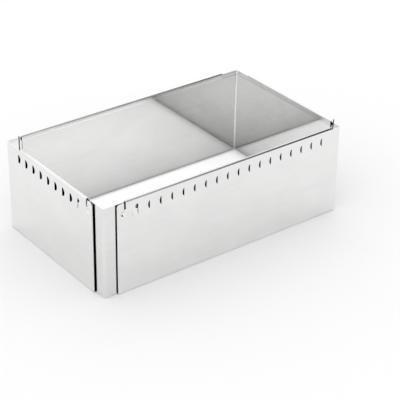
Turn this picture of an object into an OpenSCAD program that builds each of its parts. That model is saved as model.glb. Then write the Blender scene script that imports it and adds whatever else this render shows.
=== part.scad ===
// Adjustable baking frame: four folded sheet angles that slide inside each other's hems,
// with two wire lock rods. Drawn closed, at its smallest size. Millimetres, +Z up,
// the front wall faces -Y and the origin is the middle of the base.

/* [Frame] */
// Outside length of the closed frame
frame_l = 219; // [200:1:300]
// Outside width of the closed frame
frame_w = 127.5; // [116:0.5:200]
// Height of the walls
frame_h = 74.5; // [50:0.5:100]
// Length of bare inner sheet that shows beside each inner corner
corner_show = 12.6; // [9:0.1:16]

/* [Sheet] */
// Thickness of the sheet metal
sheet_t = 0.5; // [0.4:0.1:1]
// Running clearance between sheets that slide
slide_clr = 0.2; // [0.15:0.05:0.4]
// Running clearance around a lock rod's wire
turn_clr = 0.1; // [0.05:0.05:0.3]
// Clearance above the inner sheets inside the hems
edge_clr = 0.7; // [0.5:0.1:1]
// Inside radius of the outer angles' corner bend
outer_bend_in = 1.4; // [0.5:0.1:3]
// Inside radius of the inner angles' corner bend
inner_bend_in = 1.5; // [0.5:0.1:4]

/* [Hems] */
// Height of the top hem's inner lip
top_lip = 4.5; // [2.6:0.1:5.5]
// Width of the flat along the top of the hems
hem_flat = 0.1; // [0.05:0.05:0.3]
// Inside radius of the bottom flanges' fold
flange_fold_in = 0.45; // [0.3:0.05:0.5]
// Distance from the outer corner to the back wall's top hem
back_hem_start = 12.5; // [7:0.5:20]
// Distance from the outer corner to the right wall's top hem
right_hem_start = 10; // [7:0.5:20]
// Distance from a free edge to the end of the back and right walls' top hems
plain_end_room = 4.4; // [4:0.1:9]
// Corner length that a bottom flange leaves open
flange_relief = 2; // [0.5:0.5:6]
// Distance that the inner legs stop short of the far ends of the top hems
leg_end_room = 0.5; // [0:0.1:3]
// Radius of the rounded top corner at each free edge
free_corner_r = 2; // [1:0.5:4]

/* [Step row] */
// Pitch of the step marks
step_pitch = 10; // [8:1:15]
// Distance from the outer corner to the front wall's first scoop
front_first_step = 18.7; // [14:0.1:30]
// Distance from the outer corner to the left wall's first scoop
left_first_step = 16.5; // [12:0.1:30]
// Least distance from a free edge to the end mark
row_end_room = 16; // [15:0.5:25]
// Distance from the top to the middle of the row
row_drop = 8.9; // [8:0.1:12]
// Radius of a front scoop's curved edge, where it leaves the sheet
front_scoop_r = 4.6; // [3:0.1:6]
// Width of a front scoop, from its curved edge to its slot
front_scoop_w = 0.9; // [0.8:0.1:2.4]
// Width of the slot along a front scoop's open side
front_scoop_slot = 0.7; // [0.3:0.1:1.5]
// Radius of a left scoop's curved edge, where it leaves the sheet
left_scoop_r = 3.7; // [2.5:0.1:4]
// Width of a left scoop, from its curved edge to its slot
left_scoop_w = 1.5; // [0.8:0.1:2.4]
// Width of the slot along a left scoop's open side
left_scoop_slot = 1.8; // [0.3:0.1:2.2]
// Length that a slot runs past its scoop at each end
slot_relief = 0.3; // [0.1:0.05:0.4]
// Radius of the smaller scoop that ends a row
end_scoop_r = 1.6; // [1.3:0.1:2]
// Width of the end scoop, from its curved edge to its slot
end_scoop_w = 1.6; // [1.2:0.1:2]
// Width of the slot along the end scoop's open side
end_scoop_slot = 1.1; // [0.3:0.1:1.5]
// Height of the end scoop above the middle of the row
end_scoop_rise = 2.2; // [2:0.1:3]
// Width of the end tongue
tongue_w = 4.2; // [3:0.2:6]
// Height of the end tongue
tongue_h = 4.2; // [3:0.2:5]
// Height of sheet between the end scoop and the tongue
tongue_web = 0.8; // [0.6:0.1:2]
// Space cut on each side of the end tongue
tongue_slot = 0.3; // [0.15:0.05:0.4]

/* [Dimple] */
// Distance from the free edge to the dimple
dimple_inset = 5; // [4:0.1:8]
// Width of sheet between the arm's slit and the dimple
dimple_web = 0.8; // [0.8:0.1:4]
// Radius of the dimple where it leaves the sheet
dimple_r = 2.2; // [1.5:0.1:3]
// Depth of the dimple
dimple_depth = 0.9; // [0.6:0.1:1]

/* [Lock rods] */
// Diameter of the wire
wire_d = 0.9; // [0.8:0.1:2.4]
// Radius of the wire's bends, on its centre line
wire_bend_r = 0.9; // [0.8:0.1:1.2]
// Space between the front rod's lever and the right wall's hem
front_lever_room = 5.1; // [0.8:0.1:10]
// Space between the left rod's lever and the back wall's hem
left_lever_room = 15.1; // [0.8:0.1:18]
// Space between a lever's bend and the end of its own hem
lever_hem_room = 0.8; // [0.3:0.1:3]
// Height of the front lever's tip above the rim
front_lever_rise = 7; // [5:0.5:15]
// Height of the left lever's tip above the rim
left_lever_rise = 10; // [5:0.5:15]
// Outward lean of the front lever
front_lever_lean = 4; // [0:1:4]
// Length of the arm that hangs from a rod
arm_l = 4.5; // [3:0.1:6]
// Distance from the free edge to the arm's slit
slit_inset = 6.5; // [5:0.1:9]
// Space between the arm and each side of its slit
slit_clr = 0.3; // [0.25:0.05:0.5]
// Length that the near inner angle runs on past the left hem, behind the first scoop
left_tail = 9; // [4:0.5:12]
// Height cut from the top of that length, so that the left lever can swing over it
left_tail_drop = 3.5; // [2:0.5:4]

/* [Hidden] */
$fn = 64;
// Small overlap that carries a cut past a face
past = 1;
// At the front and left walls the sheets stand apart by the wire and its clearance on both sides
sheet_gap = wire_d + 2 * turn_clr;
// Depths of the near and far inner sheets behind the outside face of a wall
near_face = sheet_t + sheet_gap;
far_face = sheet_t + slide_clr;
rod_depth = sheet_t + sheet_gap / 2;
// Hem widths over each of them
near_hem_w = near_face + sheet_t + slide_clr + sheet_t;
far_hem_w = far_face + sheet_t + slide_clr + sheet_t;
near_hem_r = (near_hem_w - hem_flat) / 2;
far_hem_r = (far_hem_w - hem_flat) / 2;
flange_w = near_face - slide_clr;
// Heights
plain_top = frame_h - sheet_t - edge_clr;
rod_z = frame_h - near_hem_r;
row_z = frame_h - row_drop;
// Outside radii of the flanges' fold and the corner bends
flange_r = flange_fold_in + sheet_t;
outer_bend_r = outer_bend_in + sheet_t;
inner_bend_r = inner_bend_in + sheet_t;
// Lengths of the outer angles' legs, from their corner to their free edge
front_leg = frame_l - corner_show;
left_leg = frame_w - corner_show;
// The slit clears the arm on every side, and the top hems start beside it
slit_w = wire_d + 2 * slit_clr;
slit_bottom = rod_z - arm_l - slit_clr;
hem_end_room = slit_inset + slit_w / 2;
dimple_z = slit_bottom - dimple_web - dimple_r;
// Levers stand clear of the other wall's hem, and their own hems start beside them
front_lever_in = far_hem_w + front_lever_room + wire_d / 2;
left_lever_in = far_hem_w + left_lever_room + wire_d / 2;
front_hem_start = front_lever_in + wire_bend_r + lever_hem_room;
left_hem_start = left_lever_in + wire_bend_r + lever_hem_room;
flange_start = flange_w + flange_relief;
// Scoops and tongues press in until they almost touch the inner sheet
scoop_depth = sheet_gap - slide_clr;
front_scoop = [front_scoop_r, front_scoop_w, front_scoop_slot];
left_scoop = [left_scoop_r, left_scoop_w, left_scoop_slot];
end_scoop = [end_scoop_r, end_scoop_w, end_scoop_slot];
tongue_tilt = asin((scoop_depth - slide_clr) / tongue_h);
tongue_z = end_scoop_rise - end_scoop_r - tongue_web - tongue_h;
// Spherical dent with a given radius where it leaves the sheet and a given depth at a distance
// beside its middle: how far its centre stands outside the sheet
function dent_out(rim, depth, at) = (rim * rim - at * at - depth * depth) / (2 * depth);
// Steps that fit on a leg between its first scoop and its end mark
function steps(leg, first) = floor((leg - first - row_end_room) / step_pitch);

// L-shaped plan of a bent sheet, with its outside corner at the origin
module angle_plan(leg_a, leg_b, bend_r) {
    translate([bend_r, 0]) square([leg_a - bend_r, sheet_t]);
    translate([0, bend_r]) square([sheet_t, leg_b - bend_r]);
    difference() {
        intersection() {
            translate([bend_r, bend_r]) circle(bend_r);
            square(bend_r);
        }
        translate([bend_r, bend_r]) circle(bend_r - sheet_t);
    }
}

// Runs a leg's shapes along +Y instead of +X
module second_leg() {
    mirror([1, -1, 0]) children();
}

// Block below the x axis with two rounded top corners
module round_top_block(w, h, r) {
    translate([0, -h]) square([w, h - r]);
    translate([r, -r]) square([w - 2 * r, r]);
    for (x = [r, w - r])
        translate([x, -r]) circle(r);
}

// Section of a hem: a channel of sheet that opens downwards
module hem_section(w, r) {
    difference() {
        round_top_block(w, top_lip, r);
        translate([sheet_t, -sheet_t])
            round_top_block(w - 2 * sheet_t, top_lip, r - sheet_t);
    }
}

// Block above the x axis with one rounded bottom corner at the origin
module round_foot_block(w, h, r) {
    translate([r, 0]) square([w - r, h]);
    translate([0, r]) square([r, h - r]);
    intersection() {
        translate([r, r]) circle(r);
        square(r);
    }
}

// Section of a flange: sheet that turns inward at the bottom of a wall
module flange_section() {
    h = flange_r + past;
    difference() {
        round_foot_block(flange_w, h, flange_r);
        translate([sheet_t, sheet_t]) round_foot_block(flange_w, h, flange_r - sheet_t);
    }
}

// Carries a section along a leg, from one distance to another
module along_leg(from, to) {
    translate([from, 0, 0])
        rotate([90, 0, 90])
            linear_extrude(to - from) children();
}

// Leg with the wire in its hem: a flange closes the space between the sheets at the bottom
module near_leg(leg, hem_start) {
    translate([0, 0, frame_h])
        along_leg(hem_start, leg - hem_end_room) hem_section(near_hem_w, near_hem_r);
    along_leg(flange_start, leg) flange_section();
    leg_sheet(leg, flange_r);
}

// Leg whose hem holds the inner sheet alone
module far_leg(leg, hem_start) {
    translate([0, 0, frame_h])
        along_leg(hem_start, leg - plain_end_room) hem_section(far_hem_w, far_hem_r);
    leg_sheet(leg, 0);
}

// Plain sheet of a leg beside the corner
module leg_sheet(leg, bottom) {
    translate([flange_start, 0, bottom])
        cube([leg - flange_start, sheet_t, plain_top - bottom]);
}

// Block between two depths, from a given start towards the free edge
module dent_block(r, start, from, to) {
    translate([start, from, -r])
        cube([r - start, to - from, 2 * r]);
}

// Metal of a dent pressed inward from the outside face. It has its depth at a distance
// beside its middle and is kept from a given start onwards.
module dent_metal(rim, depth, at, start) {
    out = dent_out(rim, depth, at);
    r = norm([at, out + depth + sheet_t]);
    intersection() {
        translate([0, -out, 0]) sphere(r);
        dent_block(r, start, 0, depth + sheet_t);
    }
}

// Hollow of the same dent
module dent_hollow(rim, depth, at, start) {
    out = dent_out(rim, depth, at);
    r = norm([at, out + depth]);
    intersection() {
        translate([0, -out, 0]) sphere(r);
        dent_block(r, start, -past, depth + past);
    }
}

// Metal of a scoop, given as its radius, its width and its slot: a dent that starts beside
// the slot, whose other side is at the origin
module scoop_metal(scoop) {
    rim = scoop[0];
    start = rim - scoop[1];
    translate([scoop[2] - start, 0, 0]) dent_metal(rim, scoop_depth, start, start);
}

// Hollow and slot of the same scoop
module scoop_cuts(scoop) {
    rim = scoop[0];
    start = rim - scoop[1];
    slot = scoop[2];
    half_h = sqrt(rim * rim - start * start) + slot_relief;
    translate([slot - start, 0, 0]) dent_hollow(rim, scoop_depth, start, start);
    translate([0, -past, -half_h]) cube([slot, 2 * past + sheet_t, 2 * half_h]);
}

// Calls its children at each scoop of a row
module at_scoops(leg, first) {
    for (k = [0 : steps(leg, first) - 1])
        translate([first + k * step_pitch, 0, row_z]) children();
}

// Place of the end mark, on the row's pitch
module at_row_end(leg, first) {
    translate([first + steps(leg, first) * step_pitch, 0, row_z]) children();
}

module at_dimple(leg) {
    translate([leg - dimple_inset, 0, dimple_z]) children();
}

module row_metal(leg, first, scoop) {
    at_scoops(leg, first) scoop_metal(scoop);
    at_row_end(leg, first)
        translate([0, 0, end_scoop_rise]) scoop_metal(end_scoop);
    at_dimple(leg) dent_metal(dimple_r, dimple_depth, 0, -dimple_r - sheet_t);
}

module row_cuts(leg, first, scoop) {
    at_scoops(leg, first) scoop_cuts(scoop);
    at_row_end(leg, first) {
        translate([0, 0, end_scoop_rise]) scoop_cuts(end_scoop);
        translate([0, -past, tongue_z])
            cube([tongue_w + 2 * tongue_slot, 2 * past + sheet_t, tongue_h]);
    }
    at_dimple(leg) dent_hollow(dimple_r, dimple_depth, 0, -dimple_r);
    translate([leg - slit_inset - slit_w / 2, -past, slit_bottom])
        cube([slit_w, past + sheet_t + turn_clr, frame_h]);
}

// End tongue, bent inward about its bottom edge
module tongue(leg, first) {
    at_row_end(leg, first)
        translate([tongue_slot, 0, tongue_z])
            rotate([-tongue_tilt, 0, 0]) cube([tongue_w, sheet_t, tongue_h]);
}

// Rounds the top corner of a free edge
module free_corner_cut(leg) {
    translate([leg - free_corner_r, sheet_t + past, plain_top - free_corner_r])
        rotate([90, 0, 0])
            linear_extrude(sheet_t + 2 * past)
                difference() {
                    square(free_corner_r + past);
                    circle(free_corner_r);
                }
}

// Bent corner that joins the two legs of an outer angle
module outer_corner() {
    linear_extrude(plain_top) angle_plan(flange_start, flange_start, outer_bend_r);
}

// Left and back walls: the step row is on the left wall
module rear_outer_angle() {
    color("silver")
        translate([-frame_l / 2, frame_w / 2, 0])
            mirror([0, 1, 0]) {
                difference() {
                    union() {
                        outer_corner();
                        far_leg(front_leg, back_hem_start);
                        second_leg() near_leg(left_leg, left_hem_start);
                        second_leg() row_metal(left_leg, left_first_step, left_scoop);
                    }
                    free_corner_cut(front_leg);
                    second_leg() free_corner_cut(left_leg);
                    second_leg() row_cuts(left_leg, left_first_step, left_scoop);
                }
                second_leg() tongue(left_leg, left_first_step);
            }
}

// Front and right walls: the step row is on the front wall
module front_outer_angle() {
    color("silver")
        translate([frame_l / 2, -frame_w / 2, 0])
            mirror([1, 0, 0]) {
                difference() {
                    union() {
                        outer_corner();
                        near_leg(front_leg, front_hem_start);
                        second_leg() far_leg(left_leg, right_hem_start);
                        row_metal(front_leg, front_first_step, front_scoop);
                    }
                    free_corner_cut(front_leg);
                    second_leg() free_corner_cut(left_leg);
                    row_cuts(front_leg, front_first_step, front_scoop);
                }
                tongue(front_leg, front_first_step);
            }
}

// Inner angle with its corner at a given depth and two plain legs
module inner_angle(face, room_a, room_b) {
    translate([face, face, 0])
        linear_extrude(plain_top)
            angle_plan(frame_l - face - room_a - leg_end_room,
                       frame_w - face - room_b - leg_end_room, inner_bend_r);
}

module near_inner_angle() {
    tail_at = frame_w - left_hem_start - leg_end_room;
    color("gainsboro")
        translate([-frame_l / 2, -frame_w / 2, 0])
            difference() {
                inner_angle(near_face, front_hem_start, left_hem_start - left_tail);
                translate([near_face - past, tail_at, plain_top - left_tail_drop])
                    cube([sheet_t + 2 * past, left_tail + past, left_tail_drop + past]);
            }
}

module far_inner_angle() {
    color("gainsboro")
        translate([frame_l / 2, frame_w / 2, 0])
            rotate([0, 0, 180]) inner_angle(far_face, back_hem_start, right_hem_start);
}

// Quarter bend of wire, from +X round to +Z
module wire_bend() {
    rotate([90, 0, 0])
        rotate_extrude(angle = 90)
            translate([wire_bend_r, 0]) circle(d = wire_d);
}

// Straight end of a wire along +Z, with a round tip
module wire_end(l) {
    cylinder(d = wire_d, h = l - wire_d / 2);
    translate([0, 0, l - wire_d / 2]) sphere(d = wire_d);
}

// Crank of wire in a top hem: a lever at the outer corner and an arm in the slit.
// The wall's inside is towards +Y when side is 1 and towards -Y when side is -1.
module lock_rod(leg, lever_in, rise, side, lean = 0) {
    arm_at = leg - slit_inset;
    lever_l = frame_h + rise - rod_z;
    translate([0, side * rod_depth, rod_z]) {
        translate([lever_in + wire_bend_r, 0, 0])
            rotate([0, 90, 0]) cylinder(d = wire_d, h = arm_at - lever_in - 2 * wire_bend_r);
        translate([arm_at - wire_bend_r, 0, -wire_bend_r]) wire_bend();
        translate([arm_at, 0, -wire_bend_r]) rotate([180, 0, 0]) wire_end(arm_l - wire_bend_r);
        rotate([side * lean, 0, 0]) {
            translate([lever_in + wire_bend_r, 0, wire_bend_r])
                rotate([0, 180, 0]) wire_bend();
            translate([lever_in, 0, wire_bend_r]) wire_end(lever_l - wire_bend_r);
        }
    }
}

module front_lock_rod() {
    color("dimgray")
        translate([frame_l / 2, -frame_w / 2, 0])
            rotate([0, 0, 180]) lock_rod(front_leg, front_lever_in, front_lever_rise, -1, front_lever_lean);
}

module left_lock_rod() {
    color("dimgray")
        translate([-frame_l / 2, frame_w / 2, 0])
            rotate([0, 0, -90]) lock_rod(left_leg, left_lever_in, left_lever_rise, 1);
}

rear_outer_angle();
front_outer_angle();
near_inner_angle();
far_inner_angle();
front_lock_rod();
left_lock_rod();
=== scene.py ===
"""Studio picture of the adjustable baking frame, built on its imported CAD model.

Lengths are in metres. +X runs along the frame and +Y from its front wall to its back wall.
"""
import math

import bpy
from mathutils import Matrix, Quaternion, Vector


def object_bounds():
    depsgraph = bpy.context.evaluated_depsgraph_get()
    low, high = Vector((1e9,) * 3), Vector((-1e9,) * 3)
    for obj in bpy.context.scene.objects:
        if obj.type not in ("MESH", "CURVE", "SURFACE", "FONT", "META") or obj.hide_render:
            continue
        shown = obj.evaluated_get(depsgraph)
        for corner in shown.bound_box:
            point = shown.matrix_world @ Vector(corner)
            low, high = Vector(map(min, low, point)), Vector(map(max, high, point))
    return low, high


# Noise cells per metre along X, Y and Z
GRAIN_CELLS = (22.0, 22.0, 2000.0)
SMUDGE_CELLS = (34.0, 34.0, 46.0)
WAVE_CELLS = (15.0, 15.0, 24.0)
WIRE_LINE_CELLS = (1800.0, 1800.0, 120.0)
WIRE_SKIN_CELLS = (300.0, 300.0, 300.0)

# Range of each noise that its effects are spread over
GRAIN_RANGE = (0.3, 0.7)
SMUDGE_RANGE = (0.38, 0.62)
WIRE_LINE_RANGE = (0.3, 0.7)
WIRE_SKIN_RANGE = (0.35, 0.65)

# Relief: depth of the sheets' waves and of the wire's lines, and the grain's share of the waves
OUTER_WAVE_DEPTH = 0.00004
INNER_WAVE_DEPTH = 0.00003
WIRE_LINE_DEPTH = 0.00002
GRAIN_SHARE = 0.006

# Tone of the sheets and the wire, from 0 for the dark grey to 1 for the light grey
MIDDLE_TONE = 0.5
GRAIN_TONE = (-0.3, 0.1)
SMUDGE_TONE = 0.2
WEAR_TONE = 0.15
# Painted shade inside the frame: its curve from foot to rim, and its offsets inside and outside
INSIDE_SHADE_CURVE = 0.45
SHADE_INSIDE_OFFSET = -0.7
SHADE_OUTSIDE_OFFSET = 0.4
WIRE_SKIN_TONE = (0.0, 0.7)
WORN_TIP_TONE = 0.35

# Roughness
SMUDGE_ROUGHNESS = (0.03, 0.07)
GRAIN_ROUGHNESS = (-0.01, 0.01)
WEAR_ROUGHNESS = 0.03
WIRE_ROUGHNESS = (0.24, 0.36)

# Heights of worn stretches: below the rim, above the foot, and above the rim on a lever
RIM_WEAR = 0.0025
FOOT_WEAR = 0.004
WORN_TIP = (0.003, 0.009)

# Height of a hem's lip; the stretch at the lip's lower edge above which its upright inside gets
# painted shade; and the stretches over which the painted shade line under that edge rises and falls
HEM_LIP = 0.0045
LIP_EDGE = (-0.0002, 0.0)
SHADE_LINE_RISE = (-0.0009, -0.0004)
SHADE_LINE_FALL = (0.0, 0.0003)
# Outward reach at which a face starts to count as upright, and counts fully
UPRIGHT_REACH = (-0.04, -0.06)

# Blue in a steel grey, as a share of its red and green
STEEL_BLUE = 0.994

# Stage
STAGE_ROUGHNESS = 0.9
FLOOR_SIZE = 12.0
FLOOR_DROP = 0.0001
FLOOR_GREY = 0.9
FLAG_X = 2.0
FLAG_Y = (0.8, -5.0)
FLAG_TOP = 4.4
FLAG_REACH = (2.5, 3.7)
FLAG_GREY = (0.02, 0.42)
WORLD_LEVEL = 1.12

# Softbox, with how far its rectangle lies inside each side of the frame's box, or below 0 outside
SOFTBOX_FROM_LEFT = 0.003
SOFTBOX_FROM_RIGHT = -0.0045
SOFTBOX_FROM_FRONT = 0.00125
SOFTBOX_FROM_BACK = 0.00275
SOFTBOX_HEIGHT = 0.3
SOFTBOX_LEVEL = 1.44
SOFTBOX_SPREAD_DEG = 1.0
SOFTBOX_FADE_RIGHT = 0.016
SOFTBOX_FADE_FRONT = 0.006

# Camera
CAMERA_SENSOR_MM = 36.0
CAMERA_LENS_MM = 130.036
CAMERA_PLACE = (-0.575828, -0.777961, 0.573748)
CAMERA_FORWARD = (0.529116, 0.686087, -0.499321)
CAMERA_ROLL_DEG = 0.945


def new_group(name, vectors, numbers=()):
    """An empty shader node group with vector and number inputs, for a metal's surface."""
    group = bpy.data.node_groups.new(name, "ShaderNodeTree")
    for label in vectors:
        group.interface.new_socket(label, in_out="INPUT", socket_type="NodeSocketVector")
    for label in numbers:
        group.interface.new_socket(label, in_out="INPUT", socket_type="NodeSocketFloat")
    for label in ("Tone", "Roughness", "Height"):
        group.interface.new_socket(label, in_out="OUTPUT", socket_type="NodeSocketFloat")
    enter = group.nodes.new("NodeGroupInput")
    leave = group.nodes.new("NodeGroupOutput")
    return group, enter, leave


def operated(tree, kind, operation, items):
    """A node of one kind of maths that is fed with sockets and plain values."""
    node = tree.nodes.new(kind)
    node.operation = operation
    for socket, item in zip(node.inputs, items):
        if isinstance(item, bpy.types.NodeSocket):
            tree.links.new(item, socket)
        else:
            socket.default_value = item
    return node


def maths(tree, operation, a, b):
    """Result of a maths node on two sockets, or on a socket and a number."""
    return operated(tree, "ShaderNodeMath", operation, (a, b)).outputs["Value"]


def plus(tree, a, b):
    """Sum of two sockets, or of a socket and a number."""
    return maths(tree, "ADD", a, b)


def minus(tree, a, b):
    """Difference of two sockets, or of a socket and a number."""
    return maths(tree, "SUBTRACT", a, b)


def times(tree, a, b):
    """Product of two sockets, or of a socket and a number."""
    return maths(tree, "MULTIPLY", a, b)


def vector_maths(tree, operation, *items, result="Vector"):
    """Result of a vector maths node on sockets and triples of numbers."""
    return operated(tree, "ShaderNodeVectorMath", operation, items).outputs[result]


def along(tree, vector, axis):
    """A vector's share along one axis."""
    split = tree.nodes.new("ShaderNodeSeparateXYZ")
    tree.links.new(vector, split.inputs["Vector"])
    return split.outputs[axis]


def ranged(tree, value, before, after=(0.0, 1.0), smooth=False):
    """A value carried from the range before to the range after, and held at its ends."""
    node = tree.nodes.new("ShaderNodeMapRange")
    node.interpolation_type = "SMOOTHSTEP" if smooth else "LINEAR"
    node.inputs["From Min"].default_value, node.inputs["From Max"].default_value = before
    node.inputs["To Min"].default_value, node.inputs["To Max"].default_value = after
    tree.links.new(value, node.inputs["Value"])
    return node.outputs["Result"]


def stretched_noise(group, place, cells, detail, distortion=0.0):
    """Noise with a given number of cells per metre along each axis."""
    noise = group.nodes.new("ShaderNodeTexNoise")
    noise.inputs["Scale"].default_value = 1.0
    noise.inputs["Detail"].default_value = detail
    noise.inputs["Distortion"].default_value = distortion
    group.links.new(vector_maths(group, "MULTIPLY", place, cells), noise.inputs["Vector"])
    return noise.outputs["Fac"]


def from_height(base, steps):
    """Heights of the two ends of a stretch whose ends are given from a base height."""
    return [base + step for step in steps]


def rim_and_foot(group, height, rim_z):
    """Mask that is 1 at the rim and at the foot and fades out over RIM_WEAR and FOOT_WEAR."""
    rim = ranged(group, height, (rim_z - RIM_WEAR, rim_z), smooth=True)
    foot = ranged(group, height, (FOOT_WEAR, 0.0), smooth=True)
    return maths(group, "MAXIMUM", rim, foot)


def painted_inside_shade(group, height, rim_z, inside):
    """Painted shade inside the frame: outside SHADE_OUTSIDE_OFFSET, and inside share **
    INSIDE_SHADE_CURVE + SHADE_INSIDE_OFFSET.

    The share goes from 0 at the foot to 1 at the rim, so the painted shade inside is darkest at the
    foot.
    """
    share = ranged(group, height, (0.0, rim_z))
    lift = plus(group, maths(group, "POWER", share, INSIDE_SHADE_CURVE), SHADE_INSIDE_OFFSET - SHADE_OUTSIDE_OFFSET)
    return plus(group, times(group, lift, inside), SHADE_OUTSIDE_OFFSET)


def painted_lip_shade_line(group, height, lip_z):
    """Mask of a thin painted shade line under a lip's edge, which rises over SHADE_LINE_RISE and falls
    over SHADE_LINE_FALL.
    """
    rise = ranged(group, height, from_height(lip_z, SHADE_LINE_RISE), smooth=True)
    fall = ranged(group, height, from_height(lip_z, SHADE_LINE_FALL), (1.0, 0.0), smooth=True)
    return times(group, rise, fall)


def rolled_sheet_group(rim_z):
    """Rolled stainless sheet: grain along the walls, smudges, worn rims, slow waves, painted shade
    inside.

    Grain is noise about 45 mm long along the wall and 0.5 mm high, and smudges are patches of
    about 30 mm. Wear is smudges at the rim and at the foot.
    Uneven scales the grain, smudges and wear in the tone about MIDDLE_TONE.
    Bake scales the painted shade inside the frame, darker towards the foot, and the lift of the
    outside that goes with it.
    Rub is the depth of a painted shade line under a hem's lip, on the inside of the sheet in the hem.
    Lip paints shade on the upright inside of a hem's lip.
    Shift moves the noise, so that a sheet and the one that it slides in have different marks.
    Outward reach is the level part of the normal times the place. It is below 0 on a face that
    looks into the frame, and below -0.06 on one that stands upright there.
    """
    vectors = ("Object", "Normal", "Shift")
    numbers = ("Uneven", "Bake", "Rub", "Lip")
    group, enter, leave = new_group("rolled_sheet", vectors, numbers)
    place = enter.outputs["Object"]
    height = along(group, place, "Z")
    lip_z = rim_z - HEM_LIP

    moved = vector_maths(group, "ADD", place, enter.outputs["Shift"])
    grain = stretched_noise(group, moved, GRAIN_CELLS, detail=2.0)
    smudge = stretched_noise(group, moved, SMUDGE_CELLS, detail=3.0, distortion=0.6)
    waves = stretched_noise(group, moved, WAVE_CELLS, detail=1.0)
    patchy = ranged(group, smudge, SMUDGE_RANGE, smooth=True)
    wear = times(group, rim_and_foot(group, height, rim_z), patchy)

    level_normal = vector_maths(group, "MULTIPLY", enter.outputs["Normal"], (1.0, 1.0, 0.0))
    outward = vector_maths(group, "DOT_PRODUCT", level_normal, place, result="Value")
    inside = maths(group, "LESS_THAN", outward, 0.0)
    upright = ranged(group, outward, UPRIGHT_REACH)
    # Painted shade on the upright inside of a hem's lip, above its lower edge
    shaded_lip_face = times(group, upright, ranged(group, height, from_height(lip_z, LIP_EDGE)))
    # Painted shade line under the lip's edge, on faces that look into the frame
    shade_line_mask = times(group, painted_lip_shade_line(group, height, lip_z), inside)

    tone = ranged(group, grain, GRAIN_RANGE, GRAIN_TONE)
    tone = plus(group, tone, times(group, patchy, SMUDGE_TONE))
    tone = plus(group, tone, times(group, wear, WEAR_TONE))
    tone = times(group, tone, enter.outputs["Uneven"])
    tone = plus(group, tone, MIDDLE_TONE)
    # Painted shade: the inside of the frame darker towards the foot, the outside lifted
    tone = plus(group, tone, times(group, painted_inside_shade(group, height, rim_z, inside), enter.outputs["Bake"]))
    # Painted shade on the upright inside of a hem's lip
    tone = minus(group, tone, times(group, shaded_lip_face, enter.outputs["Lip"]))
    # Painted shade line under a hem's lip
    tone = minus(group, tone, times(group, shade_line_mask, enter.outputs["Rub"]))

    roughness = ranged(group, patchy, (0.0, 1.0), SMUDGE_ROUGHNESS)
    roughness = plus(group, roughness, ranged(group, grain, GRAIN_RANGE, GRAIN_ROUGHNESS))
    roughness = plus(group, roughness, times(group, wear, WEAR_ROUGHNESS))
    relief = plus(group, waves, times(group, grain, GRAIN_SHARE))

    group.links.new(tone, leave.inputs["Tone"])
    group.links.new(roughness, leave.inputs["Roughness"])
    group.links.new(relief, leave.inputs["Height"])
    return group


def drawn_wire_group(rim_z):
    """Drawn wire: fine lines, a patchy dull skin and a brighter worn tip above the rim."""
    group, enter, leave = new_group("drawn_wire", ["Object"])
    place = enter.outputs["Object"]
    lines = stretched_noise(group, place, WIRE_LINE_CELLS, detail=2.0)
    skin = stretched_noise(group, place, WIRE_SKIN_CELLS, detail=3.0)
    height = along(group, place, "Z")
    worn = ranged(group, height, from_height(rim_z, WORN_TIP), (0.0, WORN_TIP_TONE), smooth=True)
    tone = plus(group, ranged(group, skin, WIRE_SKIN_RANGE, WIRE_SKIN_TONE), worn)
    roughness = ranged(group, lines, WIRE_LINE_RANGE, WIRE_ROUGHNESS)
    group.links.new(tone, leave.inputs["Tone"])
    group.links.new(roughness, leave.inputs["Roughness"])
    group.links.new(lines, leave.inputs["Height"])
    return group


def steel_grey(level):
    """Steel grey of a given level, a touch warm."""
    return level, level, level * STEEL_BLUE, 1.0


def metal(name, group, dark, light, depth, **values):
    """Bare metal whose grey runs from dark to light with the group's tone, with relief of a depth.

    The other values go to the group's inputs of the same names.
    """
    material = bpy.data.materials.new(name)
    material.use_nodes = True
    tree = material.node_tree
    shader = tree.nodes["Principled BSDF"]
    shader.inputs["Metallic"].default_value = 1.0
    coords = tree.nodes.new("ShaderNodeTexCoord")
    surface = tree.nodes.new("ShaderNodeGroup")
    surface.node_tree = group
    for label in ("Object", "Normal"):
        if label in surface.inputs:
            tree.links.new(coords.outputs[label], surface.inputs[label])
    for label, value in values.items():
        surface.inputs[label].default_value = value
    colour = tree.nodes.new("ShaderNodeMix")
    colour.data_type = "RGBA"
    colour.inputs["A"].default_value = steel_grey(dark)
    colour.inputs["B"].default_value = steel_grey(light)
    bump = tree.nodes.new("ShaderNodeBump")
    bump.inputs["Distance"].default_value = depth
    tree.links.new(surface.outputs["Tone"], colour.inputs["Factor"])
    tree.links.new(surface.outputs["Roughness"], shader.inputs["Roughness"])
    tree.links.new(surface.outputs["Height"], bump.inputs["Height"])
    tree.links.new(colour.outputs["Result"], shader.inputs["Base Color"])
    tree.links.new(bump.outputs["Normal"], shader.inputs["Normal"])
    return material


def matte(name):
    """A stage material without gloss."""
    material = bpy.data.materials.new(name)
    material.use_nodes = True
    shader = material.node_tree.nodes["Principled BSDF"]
    shader.inputs["Roughness"].default_value = STAGE_ROUGHNESS
    shader.inputs["Specular IOR Level"].default_value = 0.0
    return material, shader


def stage_sheet(name, corners, material):
    """A flat sheet of the stage with four corners."""
    mesh = bpy.data.meshes.new(name)
    mesh.from_pydata(corners, [], [(0, 1, 2, 3)])
    mesh.materials.append(material)
    item = bpy.data.objects.new(name, mesh)
    bpy.context.scene.collection.objects.link(item)
    return item


def add_floor():
    """A square white floor, just below the frame's foot."""
    material, shader = matte("floor_white")
    shader.inputs["Base Color"].default_value = (FLOOR_GREY, FLOOR_GREY, FLOOR_GREY, 1.0)
    half = FLOOR_SIZE / 2
    sides = ((-half, -half), (half, -half), (half, half), (-half, half))
    stage_sheet("floor", [(x, y, -FLOOR_DROP) for x, y in sides], material)


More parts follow.
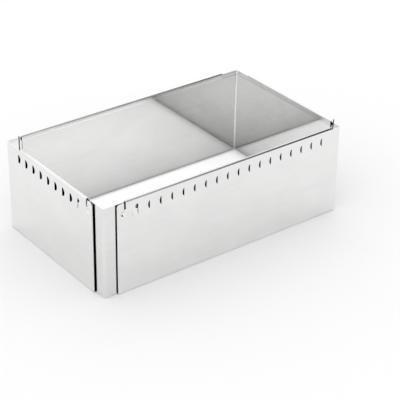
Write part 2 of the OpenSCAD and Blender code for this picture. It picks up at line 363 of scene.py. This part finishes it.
def add_flag():
    """An upright grey card beyond the right wall, which shows in the frame's reflections alone.

    Its grey goes through FLAG_GREY as the distance from the X axis goes through FLAG_REACH, so
    that the hems along the frame are darkest at their right ends.
    """
    material, shader = matte("flag_grey")
    tree = material.node_tree
    coords = tree.nodes.new("ShaderNodeTexCoord")
    across = vector_maths(tree, "MULTIPLY", coords.outputs["Object"], (0.0, 1.0, 1.0))
    reach = vector_maths(tree, "LENGTH", across, result="Value")
    tree.links.new(ranged(tree, reach, FLAG_REACH, FLAG_GREY), shader.inputs["Base Color"])
    near, far = FLAG_Y
    sides = ((near, 0.0), (far, 0.0), (far, FLAG_TOP), (near, FLAG_TOP))
    flag = stage_sheet("grey_flag", [(FLAG_X, y, z) for y, z in sides], material)
    flag.visible_camera = False
    flag.visible_diffuse = False
    flag.visible_shadow = False


def add_world():
    """White surroundings: level 1 to the camera, and WORLD_LEVEL as light."""
    world = bpy.data.worlds.new("studio")
    world.use_nodes = True
    tree = world.node_tree
    back = tree.nodes["Background"]
    back.inputs["Color"].default_value = (1.0, 1.0, 1.0, 1.0)
    path = tree.nodes.new("ShaderNodeLightPath")
    level = ranged(tree, path.outputs["Is Camera Ray"], (0.0, 1.0), (WORLD_LEVEL, 1.0))
    tree.links.new(level, back.inputs["Strength"])
    bpy.context.scene.world = world


def add_softbox(box):
    """A gridded overhead softbox that shines straight down into the frame of a given box.

    Its light has SOFTBOX_LEVEL in watts per square metre. It fades out smoothly over the last
    part of its rectangle towards the right and towards the front.
    """
    left = box[0].x + SOFTBOX_FROM_LEFT
    right = box[1].x - SOFTBOX_FROM_RIGHT
    front = box[0].y + SOFTBOX_FROM_FRONT
    back = box[1].y - SOFTBOX_FROM_BACK
    data = bpy.data.lights.new("overhead_softbox", "AREA")
    data.shape = "RECTANGLE"
    data.size = right - left
    data.size_y = back - front
    data.energy = SOFTBOX_LEVEL * data.size * data.size_y
    data.spread = math.radians(SOFTBOX_SPREAD_DEG)
    data.use_nodes = True
    tree = data.node_tree
    spot = tree.nodes.new("ShaderNodeNewGeometry").outputs["Parametric"]
    right_fade = (1.0, 1.0 - SOFTBOX_FADE_RIGHT / data.size)
    front_fade = (0.0, SOFTBOX_FADE_FRONT / data.size_y)
    from_right = ranged(tree, along(tree, spot, "X"), right_fade, smooth=True)
    from_front = ranged(tree, along(tree, spot, "Y"), front_fade, smooth=True)
    strength = times(tree, from_right, from_front)
    tree.links.new(strength, tree.nodes["Emission"].inputs["Strength"])
    light = bpy.data.objects.new("overhead_softbox", data)
    light.location = ((left + right) / 2, (front + back) / 2, SOFTBOX_HEIGHT)
    bpy.context.scene.collection.objects.link(light)


def add_camera():
    """The photo's camera, fitted to the edges and step marks of the frame."""
    data = bpy.data.cameras.new("photo_camera")
    data.sensor_width = CAMERA_SENSOR_MM
    data.lens = CAMERA_LENS_MM
    camera = bpy.data.objects.new("photo_camera", data)
    camera.location = CAMERA_PLACE
    roll = Quaternion((0.0, 0.0, 1.0), math.radians(CAMERA_ROLL_DEG))
    camera.rotation_mode = "QUATERNION"
    camera.rotation_quaternion = Vector(CAMERA_FORWARD).to_track_quat("-Z", "Y") @ roll
    bpy.context.scene.collection.objects.link(camera)
    bpy.context.scene.camera = camera


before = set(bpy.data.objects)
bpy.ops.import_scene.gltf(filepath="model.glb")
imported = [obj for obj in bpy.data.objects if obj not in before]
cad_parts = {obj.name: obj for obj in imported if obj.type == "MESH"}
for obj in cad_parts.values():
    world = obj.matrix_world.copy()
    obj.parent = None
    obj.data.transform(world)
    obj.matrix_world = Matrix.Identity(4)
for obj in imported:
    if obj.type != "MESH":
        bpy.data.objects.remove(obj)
cad_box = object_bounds()

# Finishes of the sheets and of the lock rods
rim_z = max(corner[2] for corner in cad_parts["rear_outer_angle"].bound_box)
sheet = rolled_sheet_group(rim_z)
wire = drawn_wire_group(rim_z)
wire_steel = metal("wire_steel", wire, dark=0.04, light=0.11, depth=WIRE_LINE_DEPTH)
finishes = {
    "rear_outer_angle": metal(
        "rear_outer_steel", sheet, dark=0.78, light=0.88, depth=OUTER_WAVE_DEPTH,
        Uneven=1.0,
    ),
    # Its insides carry painted shade, darker towards the foot, and its lips' upright insides carry
    # painted shade
    "front_outer_angle": metal(
        "front_outer_steel", sheet, dark=0.5, light=0.88, depth=OUTER_WAVE_DEPTH,
        Uneven=0.26, Bake=0.92, Lip=0.45,
    ),
    "near_inner_angle": metal(
        "near_inner_steel", sheet, dark=0.74, light=0.84, depth=INNER_WAVE_DEPTH,
        Uneven=1.0, Shift=(1.3, 0.6, 0.0),
    ),
    # Its insides carry painted shade, darker towards the foot, and a painted shade line under the
    # hem's lip
    "far_inner_angle": metal(
        "far_inner_steel", sheet, dark=0.49, light=0.82, depth=INNER_WAVE_DEPTH,
        Uneven=0.3, Bake=0.8, Rub=0.5, Shift=(3.1, 1.7, 0.0),
    ),
    "front_lock_rod": wire_steel,
    "left_lock_rod": wire_steel,
}
for node, finish in finishes.items():
    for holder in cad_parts[node].material_slots:
        holder.material = finish

# Stage, light and camera
add_floor()
add_flag()
add_world()
add_softbox(cad_box)
add_camera()
bpy.context.scene.view_settings.view_transform = "Standard"
